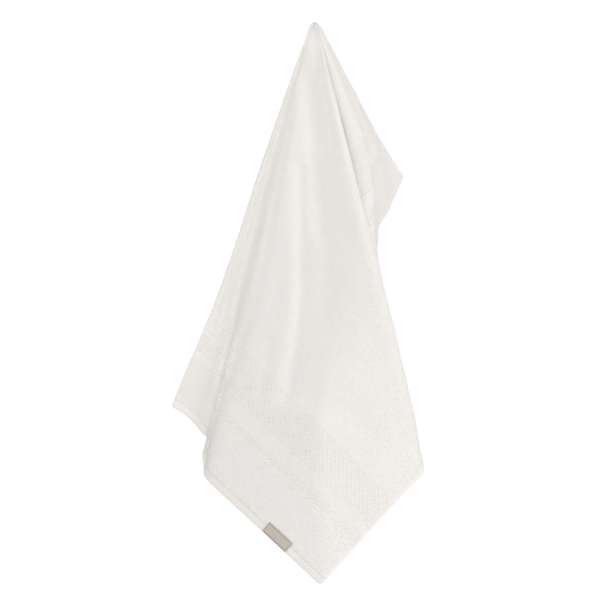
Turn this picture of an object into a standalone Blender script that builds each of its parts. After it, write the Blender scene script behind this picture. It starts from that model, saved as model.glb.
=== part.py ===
"""A terry hand towel that hangs from one point on its long edge, with the label sewn to its hem.

Metres, +Z up. The origin is the hanging point, +X is to the right of someone who faces the labelled side, and
that side faces -Y.

A place on the cloth, cut and flat, is given in two ways. Across and along: metres from the near selvedge, and
metres up from the labelled end. Angle and reach: degrees round the hanging point, from 0 straight down the near
selvedge to 180 straight up it, and metres away from the hanging point. Every line of constant angle hangs as an
almost straight ray, so the folds are rays too. A ray's lean is how many degrees it hangs off the plumb line,
sideways (+ to +X) and back (+ to +Y).
"""

import math
from collections import namedtuple

import bmesh
import bpy
from mathutils import Vector

# The cut cloth
CLOTH_WIDTH = 0.500
CLOTH_LENGTH = 0.800
HANG_HEIGHT = 0.522  # from the labelled end up the near selvedge to the hanging point
UPPER_LENGTH = CLOTH_LENGTH - HANG_HEIGHT
CLOTH_THICKNESS = 0.0024
CROWN_THICKNESS = 0.0008  # where the pleats squeeze the pile over the hook
FULL_PILE_REACH = 0.17  # from here outwards the pile is not squeezed
HEM_DEPTH = 0.010
HEM_EXTRA = 0.0008  # the turned hem is thicker than the pile by this much

# How it is gathered
HOOK_ROUNDING = 0.014  # the cone's sides would meet this far above the rounded top
BLUNT = 0.28  # the top is wider than that cone by this share
BLUNT_DEPTH = 0.0115  # and the swelling is gone a little below here
LEVELS = (0.14, 0.33, 0.52)  # the reaches at which the table gives the leans
FULL_RADIUS_REACH = 0.20  # the folds grow tighter from here up to the hook
LEAST_FOLD_RADIUS = 0.0013
MOST_ROUNDING = 0.42  # a fold's rounding is at most this share of the panels beside it, and of its opening
STEEPEST = 0.95  # sine of the most that a panel tilts between two roundings
SHALLOW_REACH = 0.10  # above this the hidden folds grow shallow
SHALLOW_SHARE = 0.10
OPEN_REACH = 0.09  # from here outwards the shown valleys are open to their full depth
HIDDEN_MIDDLE = 7.0  # degrees sideways, the line towards which they shrink
SOFTENING = 0.7  # degrees of angle over which a section is smoothed
BOW_SHAPE = 0.6  # a bow's height, as a share of the root of its run times its slack
MOST_TURN = math.radians(300)  # a turn past this is a straight run that rounding errors make into a whole turn

Fold = namedtuple("Fold", "name angle top_side top_back mid_side mid_back low_side low_back radius bow")

# Each row is a fold or an edge: its leans at the three levels, the radius of its rounding, and how the panel up to
# the next row bows with its slack: backwards above 0, forwards below 0, and by its whole slack at 1 or -1.
FOLDS = [
    Fold("near selvedge", 0.0, -18.7, -5.4, -18.5, -5.4, -19.6, -6.4, 0.0, 0),
    Fold("left valley", 16.5, -16.8, -3.0, -15.5, -3.4, -13.8, -3.2, 0.0080, -0.3),
    Fold("front left ridge", 29.0, -9.6, -6.2, -9.8, -6.4, -12.9, -6.5, 0.0600, -0.2),
    Fold("front middle", 44.0, 1.8, -5.6, 3.0, -7.0, 0.8, -10.8, 0.0300, 0),
    Fold("front right swell", 52.0, 9.0, -6.2, 9.4, -8.4, 8.2, -9.6, 0.0300, 0),
    Fold("front right ridge", 59.0, 13.8, -6.2, 14.1, -6.8, 13.9, -7.0, 0.0140, -1),
    Fold("first hidden fold", 78.0, 0.6, 3.0, -2.0, 1.5, -2.5, -1.0, 0.0038, 0),
    Fold("second hidden fold", 90.0, 10.8, 7.0, 9.5, 5.5, 9.0, 3.0, 0.0038, 0),
    Fold("third hidden fold", 107.0, -6.8, 13.5, -7.8, 9.5, -7.8, 7.0, 0.0048, 0),
    Fold("back ridge", 127.0, 13.5, 18.5, 10.5, 14.0, 10.5, 13.0, 0.0038, -1),
    Fold("flap valley", 141.0, 17.2, -3.6, 12.5, -1.5, 12.5, -1.5, 0.0160, 1),
    Fold("flap middle", 155.0, 22.4, 11.0, 14.2, 15.0, 14.2, 15.0, 0.0080, 1),
    Fold("flap side", 168.6, 23.8, 23.5, 18.9, 26.5, 18.9, 26.5, 0.0080, -1),
    Fold("short corner", 180.0, 23.8, 36.0, 25.5, 36.0, 25.5, 36.0, 0.0, -1),
]
HIDDEN_FOLDS = ("first hidden fold", "second hidden fold", "third hidden fold", "back ridge")
# Where the shown valleys start, pressed shut at the hook.
HOOK_LEANS = {"left valley": (-15.0, -4.4), "flap valley": (17.6, -2.4)}

Crease = namedtuple("Crease", "name from_angle from_reach to_angle to_reach half_width height")

# Soft troughs (-) and ridges (+) in the labelled side.
CREASE_FALL = 0.7  # how fast a crease fades away from its middle line, in half widths squared
CREASES = [
    Crease("long middle trough", 35.4, 0.190, 38.6, 0.480, 0.009, -0.0038),
    Crease("short trough beside it", 33.0, 0.410, 34.5, 0.480, 0.006, -0.0016),
    Crease("upper trough", 35.0, 0.072, 42.5, 0.262, 0.010, -0.0026),
    Crease("upper left ridge", 26.5, 0.090, 31.0, 0.270, 0.012, 0.0012),
    Crease("upper right ridge", 47.5, 0.080, 52.5, 0.240, 0.009, 0.0018),
    Crease("broad swelling", 46.0, 0.330, 47.5, 0.430, 0.032, 0.0050),
    Crease("dent over the border", 42.0, 0.480, 51.0, 0.520, 0.016, -0.0045),
    Crease("rounded right corner", 58.5, 0.555, 59.5, 0.590, 0.018, -0.0038),
    Crease("selvedge ripple", 7.0, 0.260, 9.0, 0.430, 0.014, 0.0030),
    Crease("hidden trough", 70.0, 0.300, 73.0, 0.480, 0.015, -0.0040),
    Crease("hidden ridge", 98.0, 0.250, 101.0, 0.430, 0.014, 0.0035),
    Crease("back trough", 118.0, 0.280, 115.0, 0.480, 0.015, -0.0040),
    Crease("flap trough", 161.0, 0.100, 159.0, 0.240, 0.012, -0.0030),
    Crease("corner ripple", 172.0, 0.130, 170.0, 0.250, 0.012, 0.0025),
]

# The gathered top, where the pleats press into one soft knob
KNOB_HALF_WIDTH = 0.0090
KNOB_HALF_DEPTH = 0.0086
KNOB_HALF_HEIGHT = 0.0088
KNOB_SIDE = 0.0022
KNOB_BACK = 0.0046
KNOB_SLANT = 0.3  # it reaches further to the right by this share of how far back it is
KNOB_SEGMENTS = 20
KNOB_RINGS = 10

# The sewn label
LABEL_LENGTH = 0.042
LABEL_DEPTH = 0.015
LABEL_THICKNESS = 0.0007
LABEL_GAP = 0.0005
LABEL_ACROSS = 0.416  # its middle, from the near selvedge
LABEL_EDGE = 0.0002  # its lower edge, from the end of the cloth
LABEL_CELLS = (10, 3)

# The mesh: rays of the shown side and of the hidden side, and rings round the hanging point
SHOWN_ANGLE = 62.0
SHOWN_STEP = 1.6
HIDDEN_STEP = 2.3
FIRST_REACH = 0.007
RING_REACH = 0.45  # reach of the outer ring of a ray of middling length
INNER_RINGS = 27
RING_GROWTH = 1.35  # above 1 the rings crowd towards the hanging point
TABLE_STEP = 0.5  # degrees between the angles at which a section is worked out
TABLE_LEVELS = 64
LEVEL_CROWDING = 1.5  # above 1 the levels crowd towards the hanging point
LEVEL_MARGIN = 0.01  # the table goes on this far past the farthest corner
SHARP_EDGE = 50.0  # degrees, from which an edge is shaded as sharp

TOWEL_COLOUR = (0.84, 0.82, 0.78, 1.0)
LABEL_COLOUR = (0.52, 0.49, 0.43, 1.0)


def clear_scene():
    for thing in list(bpy.data.objects):
        bpy.data.objects.remove(thing)


def make_material(name, colour, roughness):
    material = bpy.data.materials.new(name)
    material.use_nodes = True
    shader = material.node_tree.nodes["Principled BSDF"]
    shader.inputs["Base Color"].default_value = colour
    shader.inputs["Roughness"].default_value = roughness
    shader.inputs["Metallic"].default_value = 0.0
    return material


def add_object(name, mesh, material):
    mesh.materials.append(material)
    mesh.shade_smooth()
    mesh.set_sharp_from_angle(angle=math.radians(SHARP_EDGE))
    thing = bpy.data.objects.new(name, mesh)
    bpy.context.scene.collection.objects.link(thing)
    return thing


def ease(share):
    """0 to 1, level at both ends."""
    share = min(max(share, 0.0), 1.0)
    return share * share * (3.0 - 2.0 * share)


# The flat cloth


def edge_reach(angle, inset=0.0):
    """Metres from the hanging point to the edge of the cloth, or to a line that is set in from that edge."""
    turn = math.radians(angle)
    down, aside = math.cos(turn), math.sin(turn)
    reaches = []
    if down > 1e-6:
        reaches.append((HANG_HEIGHT - inset) / down)
    if down < -1e-6:
        reaches.append((UPPER_LENGTH - inset) / -down)
    if aside > 1e-6:
        reaches.append((CLOTH_WIDTH - inset) / aside)
    return min(reaches)


def flat_place(angle, reach):
    """Across and along of an angle and reach."""
    turn = math.radians(angle)
    return reach * math.sin(turn), HANG_HEIGHT - reach * math.cos(turn)


def angle_and_reach(across, along):
    down = HANG_HEIGHT - along
    return math.degrees(math.atan2(across, down)), math.hypot(across, down)


# How a ray hangs


def fold_lean(fold, reach):
    """The (sideways, back) lean of a fold, which changes smoothly from one level to the next."""
    top = Vector((fold.top_side, fold.top_back))
    mid = Vector((fold.mid_side, fold.mid_back))
    low = Vector((fold.low_side, fold.low_back))
    if reach < LEVELS[1]:
        lean = top.lerp(mid, ease((reach - LEVELS[0]) / (LEVELS[1] - LEVELS[0])))
    else:
        lean = mid.lerp(low, ease((reach - LEVELS[1]) / (LEVELS[2] - LEVELS[1])))
    if fold.name in HIDDEN_FOLDS:
        depth = SHALLOW_SHARE + (1.0 - SHALLOW_SHARE) * ease(reach / SHALLOW_REACH)
        lean.x = HIDDEN_MIDDLE + (lean.x - HIDDEN_MIDDLE) * depth
    if fold.name in HOOK_LEANS:
        lean = Vector(HOOK_LEANS[fold.name]).lerp(lean, ease(reach / OPEN_REACH))
    return lean


def cone_radius(reach):
    """How fast a lean spreads the cloth at this reach: more than the reach, because the top is rounded."""
    return math.sqrt(reach * reach + 2.0 * HOOK_ROUNDING * reach)


Round = namedtuple("Round", "centre radius side")


def fold_rounds(reach):
    """The circles that the section bends round, one at each fold; side is 1 where it turns left."""
    leans = [fold_lean(fold, reach) for fold in FOLDS]
    rounds = [Round(leans[0], 0.0, 0)]
    for i in range(1, len(FOLDS) - 1):
        before, after = leans[i - 1] - leans[i], leans[i + 1] - leans[i]
        tight = max(FOLDS[i].radius * min(1.0, reach / FULL_RADIUS_REACH), LEAST_FOLD_RADIUS)
        room = MOST_ROUNDING * min(before.length, after.length, (after - before).length)
        radius = min(math.degrees(tight / cone_radius(reach)), room)
        side = 1 if after.x * before.y - after.y * before.x > 0.0 else -1
        inward = (before.normalized() + after.normalized()).normalized()
        rounds.append(Round(leans[i] + inward * radius, radius, side))
    return rounds + [Round(leans[-1], 0.0, 0)]


def round_point(fold_round, heading):
    """The point of a round where the section runs in this direction."""
    arm = fold_round.radius * fold_round.side
    return fold_round.centre + Vector((math.sin(heading), -math.cos(heading))) * arm


def straight_run(start, end):
    """Heading and length of the line that touches both rounds, as a belt touches two pulleys."""
    line = end.centre - start.centre
    offset = (start.radius * start.side - end.radius * end.side) / line.length
    tilt = math.asin(min(max(offset, -STEEPEST), STEEPEST))
    return math.atan2(line.y, line.x) + tilt, line.length * math.cos(tilt)


def panel_point(i, share, rounds, runs, turns, width):
    """A point of panel i, whose middle part bows out by as much as the cloth is wider than the way it takes."""
    heading, run = runs[i]
    leaving = rounds[i].radius * turns[i] / 2.0
    reaching = rounds[i + 1].radius * turns[i + 1] / 2.0
    slack = max(width - leaving - run - reaching, 0.0)
    place = share * (leaving + run + slack + reaching)
    if place < leaving:
        return round_point(rounds[i], heading - rounds[i].side * (leaving - place) / rounds[i].radius)
    if place > leaving + run + slack:
        past = place - leaving - run - slack
        return round_point(rounds[i + 1], heading + rounds[i + 1].side * past / rounds[i + 1].radius)
    along = (place - leaving) / (run + slack)
    direction = Vector((math.cos(heading), math.sin(heading)))
    bulge = BOW_SHAPE * math.sqrt(run * slack) * FOLDS[i].bow * (1.0 - math.cos(2.0 * math.pi * along)) / 2.0
    aside = Vector((-direction.y, direction.x)) * bulge
    return round_point(rounds[i], heading) + direction * run * along + aside


def softened(points):
    """The section with each point the bell-weighted mean of those about it."""
    span = int(4.0 * SOFTENING / TABLE_STEP)
    weights = [math.exp(-0.5 * (k * TABLE_STEP / SOFTENING) ** 2) for k in range(-span, span + 1)]
    last = len(points) - 1
    smooth = []
    for i in range(len(points)):
        mean = Vector((0.0, 0.0))
        for k, weight in zip(range(i - span, i + span + 1), weights):
            if k < 0:
                point = 2.0 * points[0] - points[-k]
            elif k > last:
                point = 2.0 * points[last] - points[2 * last - k]
            else:
                point = points[k]
            mean += point * weight
        smooth.append(mean / sum(weights))
    return smooth


def section(reach):
    """The leans of all rays at one reach, one for each TABLE_STEP of angle."""
    rounds = fold_rounds(reach)
    runs = [straight_run(start, end) for start, end in zip(rounds, rounds[1:])]
    turns = [0.0]
    for i in range(1, len(rounds) - 1):
        turn = (rounds[i].side * (runs[i][0] - runs[i - 1][0])) % (2.0 * math.pi)
        turns.append(turn if turn < MOST_TURN else 0.0)
    turns.append(0.0)
    points = []
    row = 0
    for step in range(int(180.0 / TABLE_STEP) + 1):
        angle = step * TABLE_STEP
        while row < len(FOLDS) - 2 and angle >= FOLDS[row + 1].angle:
            row += 1
        span = FOLDS[row + 1].angle - FOLDS[row].angle
        share = (angle - FOLDS[row].angle) / span
        width = span * reach / cone_radius(reach)
        points.append(panel_point(row, share, rounds, runs, turns, width))
    return softened(points)


def level_reach(level):
    """The reach of one level of the table of sections."""
    shortest = FIRST_REACH / 2.0
    longest = math.hypot(CLOTH_WIDTH, HANG_HEIGHT) + LEVEL_MARGIN
    return shortest + (longest - shortest) * (level / (TABLE_LEVELS - 1)) ** LEVEL_CROWDING


def section_table():
    return [(level_reach(level), section(level_reach(level))) for level in range(TABLE_LEVELS)]


def lean_at(table, angle, reach):
    """The lean at any angle and reach, read between the sections of the table."""
    upper = 1
    while upper < len(table) - 1 and table[upper][0] < reach:
        upper += 1
    (low_reach, low), (high_reach, high) = table[upper - 1], table[upper]
    blend = min(max((reach - low_reach) / (high_reach - low_reach), 0.0), 1.0)
    step = min(max(angle / TABLE_STEP, 0.0), len(low) - 1.001)
    k = int(step)
    below = low[k].lerp(low[k + 1], step - k)
    above = high[k].lerp(high[k + 1], step - k)
    return below.lerp(above, blend)


def hung_place(table, angle, reach):
    """Where the middle of the cloth hangs: down a cone whose top is rounded over the hook."""
    lean = lean_at(table, angle, reach)
    tilt = math.radians(max(lean.length, 1e-6))
    slope = lean.normalized() * math.tan(tilt)
    steep = slope.length_squared
    rounding = HOOK_ROUNDING * steep
    drop = (math.sqrt(rounding * rounding + (1.0 + steep) * reach * reach) - rounding) / (1.0 + steep)
    spread = cone_radius(drop) * (1.0 + BLUNT * math.exp(-((drop / BLUNT_DEPTH) ** 2)))
    return Vector((spread * slope.x, spread * slope.y, -drop))


def crease_height(across, along):
    """Height of the soft troughs and ridges over the folded cloth."""
    here = Vector((across, along))
    height = 0.0
    for crease in CREASES:
        start = Vector(flat_place(crease.from_angle, crease.from_reach))
        end = Vector(flat_place(crease.to_angle, crease.to_reach))
        line = end - start
        share = min(max((here - start).dot(line) / line.length_squared, 0.0), 1.0)
        away = (here - start - line * share).length / crease.half_width
        height += crease.height * math.exp(-CREASE_FALL * away * away)
    return height


def side_normal(table, angle, reach):
    """Unit normal of the labelled side, from the cloth's run outwards and round the hanging point."""
    small_reach, small_angle = 0.002, 0.4
    low_angle, high_angle = max(angle - small_angle, 0.0), min(angle + small_angle, 180.0)
    outward = hung_place(table, angle, reach + small_reach) - hung_place(table, angle, reach - small_reach)
    round_it = hung_place(table, high_angle, reach) - hung_place(table, low_angle, reach)
    return outward.cross(round_it).normalized()


def cloth_thickness(along, reach):
    squeezed = CROWN_THICKNESS + (CLOTH_THICKNESS - CROWN_THICKNESS) * min(reach / FULL_PILE_REACH, 1.0)
    from_end = min(along, CLOTH_LENGTH - along)
    return squeezed + (HEM_EXTRA if from_end < HEM_DEPTH + 1e-6 else 0.0)


def cloth_point(table, angle, reach, height):
    """A point that stands this far over the middle of the cloth, on the labelled side when above 0."""
    middle = hung_place(table, angle, reach)
    relief = crease_height(*flat_place(angle, reach))
    return middle + side_normal(table, angle, reach) * (relief + height)


# The towel


def spread_angles(start, end, step):
    count = max(1, round((end - start) / step))
    return [start + (end - start) * k / count for k in range(count)]


def ray_angles():
    """Angles of the rays, with one at each far corner of the cloth."""
    low_corner = math.degrees(math.atan2(CLOTH_WIDTH, HANG_HEIGHT))
    high_corner = 180.0 - math.degrees(math.atan2(CLOTH_WIDTH, UPPER_LENGTH))
    angles = spread_angles(0.0, low_corner, SHOWN_STEP)
    angles += spread_angles(low_corner, SHOWN_ANGLE, SHOWN_STEP)
    angles += spread_angles(SHOWN_ANGLE, high_corner, HIDDEN_STEP)
    angles += spread_angles(high_corner, 180.0, HIDDEN_STEP)
    return angles + [180.0]


def ring_reaches(angle):
    """Reaches of one ray's points, from the knob to the hem's stitch line and the edge."""
    stitch_line = edge_reach(angle, HEM_DEPTH)
    reaches = []
    for ring in range(INNER_RINGS):
        share = (ring / INNER_RINGS) ** RING_GROWTH
        outer = RING_REACH + (stitch_line - RING_REACH) * share
        reaches.append(FIRST_REACH + (outer - FIRST_REACH) * share)
    return reaches + [stitch_line, edge_reach(angle)]


def towel_mesh(table):
    """The cloth as one closed sheet: its two sides, and a rim all the way round."""
    body = bmesh.new()
    labelled, plain = [], []
    for angle in ray_angles():
        near, far = [], []
        for reach in ring_reaches(angle):
            half = cloth_thickness(flat_place(angle, reach)[1], reach) / 2.0
            near.append(body.verts.new(cloth_point(table, angle, reach, half)))
            far.append(body.verts.new(cloth_point(table, angle, reach, -half)))
        labelled.append(near)
        plain.append(far)
    rays, rings = len(labelled), len(labelled[0])
    for i in range(rays - 1):
        for j in range(rings - 1):
            body.faces.new((labelled[i][j], labelled[i][j + 1], labelled[i + 1][j + 1], labelled[i + 1][j]))
            body.faces.new((plain[i][j], plain[i + 1][j], plain[i + 1][j + 1], plain[i][j + 1]))
    rim = [(0, j) for j in range(rings)]
    rim += [(i, rings - 1) for i in range(1, rays)]
    rim += [(rays - 1, j) for j in range(rings - 2, -1, -1)]
    rim += [(i, 0) for i in range(rays - 2, 0, -1)]
    for (i, j), (k, m) in zip(rim, rim[1:] + rim[:1]):
        body.faces.new((labelled[i][j], plain[i][j], plain[k][m], labelled[k][m]))
    bmesh.ops.recalc_face_normals(body, faces=body.faces)
    bmesh.ops.triangulate(body, faces=body.faces)
    mesh = bpy.data.meshes.new("towel")
    body.to_mesh(mesh)
    body.free()
    return mesh


def knob_mesh():
    """The rounded knob into which the pleats gather at the hanging point."""
    body = bmesh.new()
    bmesh.ops.create_uvsphere(body, u_segments=KNOB_SEGMENTS, v_segments=KNOB_RINGS, radius=1.0)
    for vert in body.verts:
        back = vert.co.y * KNOB_HALF_DEPTH
        vert.co.x = vert.co.x * KNOB_HALF_WIDTH + KNOB_SIDE + back * KNOB_SLANT
        vert.co.y = back + KNOB_BACK
        vert.co.z = (vert.co.z - 1.0) * KNOB_HALF_HEIGHT
    mesh = bpy.data.meshes.new("knob")
    body.to_mesh(mesh)
    body.free()
    return mesh


def make_towel(table):
    material = make_material("terry cloth", TOWEL_COLOUR, 0.95)
    knob = add_object("knob", knob_mesh(), material)
    knob.hide_render = True
    knob.display_type = "WIRE"
    towel = add_object("towel", towel_mesh(table), material)
    union = towel.modifiers.new("gathered top", "BOOLEAN")
    union.operation = "UNION"
    union.solver = "EXACT"
    union.object = knob
    return towel


# The label


def make_label(table):
    """A small woven plate that lies on the labelled side, its lower edge along the end of the cloth."""
    body = bmesh.new()
    cells_along, cells_up = LABEL_CELLS
    under, over = [], []
    for i in range(cells_along + 1):
        lower, upper = [], []
        for j in range(cells_up + 1):
            across = LABEL_ACROSS + LABEL_LENGTH * (i / cells_along - 0.5)
            along = LABEL_EDGE + LABEL_DEPTH * j / cells_up
            angle, reach = angle_and_reach(across, along)
            seat = (CLOTH_THICKNESS + HEM_EXTRA) / 2.0 + LABEL_GAP
            lower.append(body.verts.new(cloth_point(table, angle, reach, seat)))
            upper.append(body.verts.new(cloth_point(table, angle, reach, seat + LABEL_THICKNESS)))
        under.append(lower)
        over.append(upper)
    for i in range(cells_along):
        for j in range(cells_up):
            body.faces.new((over[i][j], over[i + 1][j], over[i + 1][j + 1], over[i][j + 1]))
            body.faces.new((under[i][j], under[i][j + 1], under[i + 1][j + 1], under[i + 1][j]))
    rim = [(i, 0) for i in range(cells_along)]
    rim += [(cells_along, j) for j in range(cells_up)]
    rim += [(i, cells_up) for i in range(cells_along, 0, -1)]
    rim += [(0, j) for j in range(cells_up, 0, -1)]
    for (i, j), (k, m) in zip(rim, rim[1:] + rim[:1]):
        body.faces.new((over[i][j], under[i][j], under[k][m], over[k][m]))
    bmesh.ops.recalc_face_normals(body, faces=body.faces)
    bmesh.ops.triangulate(body, faces=body.faces)
    mesh = bpy.data.meshes.new("label")
    body.to_mesh(mesh)
    body.free()
    return add_object("label", mesh, make_material("woven label", LABEL_COLOUR, 0.7))


clear_scene()
sections = section_table()
make_towel(sections)
make_label(sections)
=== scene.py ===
# %% [markdown]
# # A terry hand towel that hangs from one point
# The real object is one rectangle of cotton terry, 50 by 80 cm, with two woven borders and a turned hem at
# each short end, and a small label sewn to one hem. It hangs by a point on its long edge, so it falls in
# folds that run out from that point like the ribs of a half-closed umbrella. The folds, the borders and the
# pile are the whole look, so this lesson spends its effort there.

import math
from collections import namedtuple

import bmesh
import bpy
import numpy as np
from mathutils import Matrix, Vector, noise


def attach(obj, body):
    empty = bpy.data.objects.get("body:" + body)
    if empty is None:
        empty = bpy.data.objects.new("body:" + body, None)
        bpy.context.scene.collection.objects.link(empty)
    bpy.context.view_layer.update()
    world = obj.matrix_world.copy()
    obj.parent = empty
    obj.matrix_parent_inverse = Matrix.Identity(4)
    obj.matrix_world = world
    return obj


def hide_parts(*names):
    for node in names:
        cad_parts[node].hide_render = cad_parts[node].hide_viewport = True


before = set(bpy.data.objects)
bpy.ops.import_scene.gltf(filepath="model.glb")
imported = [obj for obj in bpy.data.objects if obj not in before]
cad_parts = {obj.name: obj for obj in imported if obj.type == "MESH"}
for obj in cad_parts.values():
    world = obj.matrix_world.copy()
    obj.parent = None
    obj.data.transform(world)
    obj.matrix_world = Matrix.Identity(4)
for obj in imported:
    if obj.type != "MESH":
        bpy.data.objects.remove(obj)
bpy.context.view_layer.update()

# %% [markdown]
# ## The camera
# The photograph was taken from straight in front with hardly any perspective, so a long lens far away fits
# it better than a short one close by. With the width of the view known, the distance follows from the lens.

# %% Camera
VIEW_WIDTH = 0.7608  # metres of towel that the picture is wide
VIEW_SIDE = -0.0178  # the middle of the picture, from the hanging point
VIEW_HEIGHT = -0.3519
LENS = 600.0  # millimetres
SENSOR = 36.0
FARTHEST = 100.0  # metres that the camera sees


def link(thing):
    bpy.context.scene.collection.objects.link(thing)
    return thing


def make_camera():
    data = bpy.data.cameras.new("camera")
    data.lens = LENS
    data.sensor_width = SENSOR
    data.clip_end = FARTHEST
    camera = link(bpy.data.objects.new("camera", data))
    camera.location = (VIEW_SIDE, -VIEW_WIDTH * LENS / SENSOR, VIEW_HEIGHT)
    camera.rotation_euler = (math.radians(90.0), 0.0, 0.0)
    bpy.context.scene.camera = camera
    return camera


camera = make_camera()
print("camera stands back", round(-camera.location.y, 2), "m")

# %% [markdown]
# ## How the cloth hangs
# A flat place on the cloth is (across, along): metres from the near long edge, and metres up from the
# labelled end. Seen from the hanging point the same place has an angle and a reach. Every line of constant
# angle hangs nearly straight, so a short table is enough: for each fold, how many degrees its line leans
# sideways and backwards at three reaches. A cloth simulation finds folds of its own, and these folds are
# the ones that the photograph shows, so they are listed one by one.

# %% Sizes of the cloth, and the table of folds
CLOTH_WIDTH = 0.500
CLOTH_LENGTH = 0.800
HANG_HEIGHT = 0.522  # the hanging point, up the near long edge from the labelled end
HOOK_ROUNDING = 0.014  # radius of the rounded top
BLUNT = 0.28  # how much wider the top is than a plain rounded cone
BLUNT_DEPTH = 0.0115
LEVELS = (0.14, 0.33, 0.52)  # the three reaches of the table
FULL_RADIUS_REACH = 0.20  # folds are sharper nearer the top than this
LEAST_FOLD_RADIUS = 0.0013
MOST_ROUNDING = 0.42  # of the shorter panel beside a fold
SHALLOW_REACH = 0.10  # hidden folds are shallower nearer the top than this
SHALLOW_SHARE = 0.10
HIDDEN_MIDDLE = 7.0
OPEN_REACH = 0.09  # the leans at the hook give way to the table within this
SOFTENING = 0.7  # degrees
BOW_SHAPE = 0.6
MOST_TURN = math.radians(300)
MOST_OFFSET = 0.95

Fold = namedtuple("Fold", "name angle top_side top_back mid_side mid_back low_side low_back radius bow")
FOLDS = [
    Fold("near selvedge", 0.0, -18.7, -5.4, -18.5, -5.4, -19.6, -6.4, 0.0, 0),
    Fold("left valley", 16.5, -16.8, -3.0, -15.5, -3.4, -13.8, -3.2, 0.0080, -0.3),
    Fold("front left ridge", 29.0, -9.6, -6.2, -9.8, -6.4, -12.9, -6.5, 0.0600, -0.2),
    Fold("front middle", 44.0, 1.8, -5.6, 3.0, -7.0, 0.8, -10.8, 0.0300, 0),
    Fold("front right swell", 52.0, 9.0, -6.2, 9.4, -8.4, 8.2, -9.6, 0.0300, 0),
    Fold("front right ridge", 59.0, 13.8, -6.2, 14.1, -6.8, 13.9, -7.0, 0.0140, -1),
    Fold("first hidden fold", 78.0, 0.6, 3.0, -2.0, 1.5, -2.5, -1.0, 0.0038, 0),
    Fold("second hidden fold", 90.0, 10.8, 7.0, 9.5, 5.5, 9.0, 3.0, 0.0038, 0),
    Fold("third hidden fold", 107.0, -6.8, 13.5, -7.8, 9.5, -7.8, 7.0, 0.0048, 0),
    Fold("back ridge", 127.0, 13.5, 18.5, 10.5, 14.0, 10.5, 13.0, 0.0038, -1),
    Fold("flap valley", 141.0, 17.2, -3.6, 12.5, -1.5, 12.5, -1.5, 0.0160, 1),
    Fold("flap middle", 155.0, 22.4, 11.0, 14.2, 15.0, 14.2, 15.0, 0.0080, 1),
    Fold("flap side", 168.6, 23.8, 23.5, 18.9, 26.5, 18.9, 26.5, 0.0080, -1),
    Fold("short corner", 180.0, 23.8, 36.0, 25.5, 36.0, 25.5, 36.0, 0.0, -1),
]
HIDDEN_FOLDS = ("first hidden fold", "second hidden fold", "third hidden fold", "back ridge")
HOOK_LEANS = {"left valley": (-15.0, -4.4), "flap valley": (17.6, -2.4)}
print(len(FOLDS), "folds and edges")

# %% [markdown]
# One cut through the folds at a given reach is a line that bends round a circle at each fold and runs
# straight in between, as a belt runs round pulleys. A smoothed zigzag is simpler, but its sharpest folds
# end in a crease, where pulleys give every fold a real radius. Where a panel has more cloth than its
# straight run needs, it bows: backwards above 0, forwards below 0, and by its whole slack at 1 or -1.


# %% One cut through the folds
def ease(share):
    share = min(max(share, 0.0), 1.0)
    return share * share * (3.0 - 2.0 * share)


def cone_radius(reach):
    return math.sqrt(reach * reach + 2.0 * HOOK_ROUNDING * reach)


def fold_lean(fold, reach):
    top = Vector((fold.top_side, fold.top_back))
    mid = Vector((fold.mid_side, fold.mid_back))
    low = Vector((fold.low_side, fold.low_back))
    if reach < LEVELS[1]:
        lean = top.lerp(mid, ease((reach - LEVELS[0]) / (LEVELS[1] - LEVELS[0])))
    else:
        lean = mid.lerp(low, ease((reach - LEVELS[1]) / (LEVELS[2] - LEVELS[1])))
    if fold.name in HIDDEN_FOLDS:
        depth = SHALLOW_SHARE + (1.0 - SHALLOW_SHARE) * ease(reach / SHALLOW_REACH)
        lean.x = HIDDEN_MIDDLE + (lean.x - HIDDEN_MIDDLE) * depth
    if fold.name in HOOK_LEANS:
        lean = Vector(HOOK_LEANS[fold.name]).lerp(lean, ease(reach / OPEN_REACH))
    return lean


Round = namedtuple("Round", "centre radius side")


def fold_rounds(reach):
    leans = [fold_lean(fold, reach) for fold in FOLDS]
    rounds = [Round(leans[0], 0.0, 0)]
    for i in range(1, len(FOLDS) - 1):
        before, after = leans[i - 1] - leans[i], leans[i + 1] - leans[i]
        tight = max(FOLDS[i].radius * min(1.0, reach / FULL_RADIUS_REACH), LEAST_FOLD_RADIUS)
        room = MOST_ROUNDING * min(before.length, after.length, (after - before).length)
        radius = min(math.degrees(tight / cone_radius(reach)), room)
        side = 1 if after.x * before.y - after.y * before.x > 0.0 else -1
        inward = (before.normalized() + after.normalized()).normalized()
        rounds.append(Round(leans[i] + inward * radius, radius, side))
    return rounds + [Round(leans[-1], 0.0, 0)]


def round_point(fold_round, heading):
    arm = fold_round.radius * fold_round.side
    return fold_round.centre + Vector((math.sin(heading), -math.cos(heading))) * arm


def straight_run(start, end):
    line = end.centre - start.centre
    offset = (start.radius * start.side - end.radius * end.side) / line.length
    tilt = math.asin(min(max(offset, -MOST_OFFSET), MOST_OFFSET))
    return math.atan2(line.y, line.x) + tilt, line.length * math.cos(tilt)


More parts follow.
